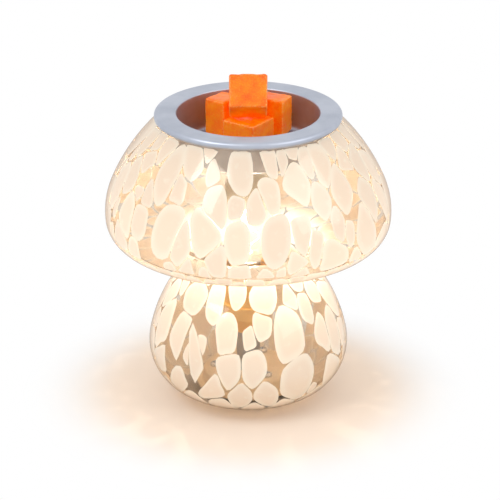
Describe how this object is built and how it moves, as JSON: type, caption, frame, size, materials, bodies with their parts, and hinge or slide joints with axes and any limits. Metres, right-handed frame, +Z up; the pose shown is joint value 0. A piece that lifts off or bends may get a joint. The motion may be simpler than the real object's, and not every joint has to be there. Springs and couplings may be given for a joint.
{
  "type": "wax melt warmer",
  "caption": "Mushroom-shaped glass wax melt warmer with fused white spots, a lamp bulb inside, and a lift-off metal dish with wax blocks on the glass rim.",
  "frame": {"origin": "middle of the rest plane, below the foot ring", "axes": "+Z up along the glass body's axis, +Y to the back where the cord enters, +X to the right seen from the front"},
  "size_m": [0.1538, 0.1538, 0.179],
  "materials": {
    "frit_glass": "clear blown glass with fused white spots",
    "clear_bulb_glass": "clear",
    "satin_aluminium": "satin, fine turned grain",
    "orange_wax": "soft wax sheen, rubbed pale edges",
    "lampholder_brass": "polished, lacquered",
    "white_porcelain": "glazed",
    "plated_brass": "satin",
    "zinc_plated_steel": "bright zinc",
    "beige_enamelled_steel": "semi-gloss enamel",
    "chromed_screw": "bright",
    "white_abs": "moulded, fine grain",
    "clear_silicone": "translucent, matt",
    "black_glass_insulator": "dark vitreous",
    "bulb_cap_aluminium": "bright",
    "solder_contact": "dull",
    "lead_wire": "drawn",
    "glowing_filament": "glowing"
  },
  "bodies": {
    "lamp_base": {"glass_body": "frit_glass", "cord_grommet": "clear_silicone", "foot_ring": "clear_silicone", "bottom_cover": "white_abs", "lower_gasket": "clear_silicone", "upper_gasket": "clear_silicone", "inner_plate": "beige_enamelled_steel", "plate_screws": "chromed_screw", "threaded_tube": "zinc_plated_steel", "lower_nut": "zinc_plated_steel", "upper_nut": "zinc_plated_steel", "nut_washer": "zinc_plated_steel", "holder_spacer": "zinc_plated_steel", "holder_cap": "lampholder_brass", "holder_skirt": "lampholder_brass", "holder_core": "white_porcelain", "thread_liner": "plated_brass", "contact_tongue": "plated_brass", "terminal_screws": "plated_brass"},
    "bulb": {"bulb_glass": "clear_bulb_glass", "bulb_cap": "bulb_cap_aluminium", "bulb_insulator": "black_glass_insulator", "bulb_contact": "solder_contact", "bulb_stem": "clear_bulb_glass", "bulb_leads": "lead_wire", "bulb_filament": "glowing_filament"},
    "dish": {"melting_dish": "satin_aluminium"},
    "wax_blocks": {"wax_front": "orange_wax", "wax_left": "orange_wax", "wax_right": "orange_wax", "wax_top": "orange_wax"}
  },
  "joints": [
    {"name": "bulb_turn", "type": "hinge", "parent": "lamp_base", "child": "bulb", "pos_m": [0, 0, 0.0529], "axis": [0, 0, 1], "range_deg": [0, 1080]},
    {"name": "dish_lift", "type": "slide", "parent": "lamp_base", "child": "dish", "axis": [0, 0, 1], "range_m": [0, 0.08]},
    {"name": "wax_lift", "type": "slide", "parent": "dish", "child": "wax_blocks", "axis": [0, 0, 1], "range_m": [0, 0.06]}
  ]
}
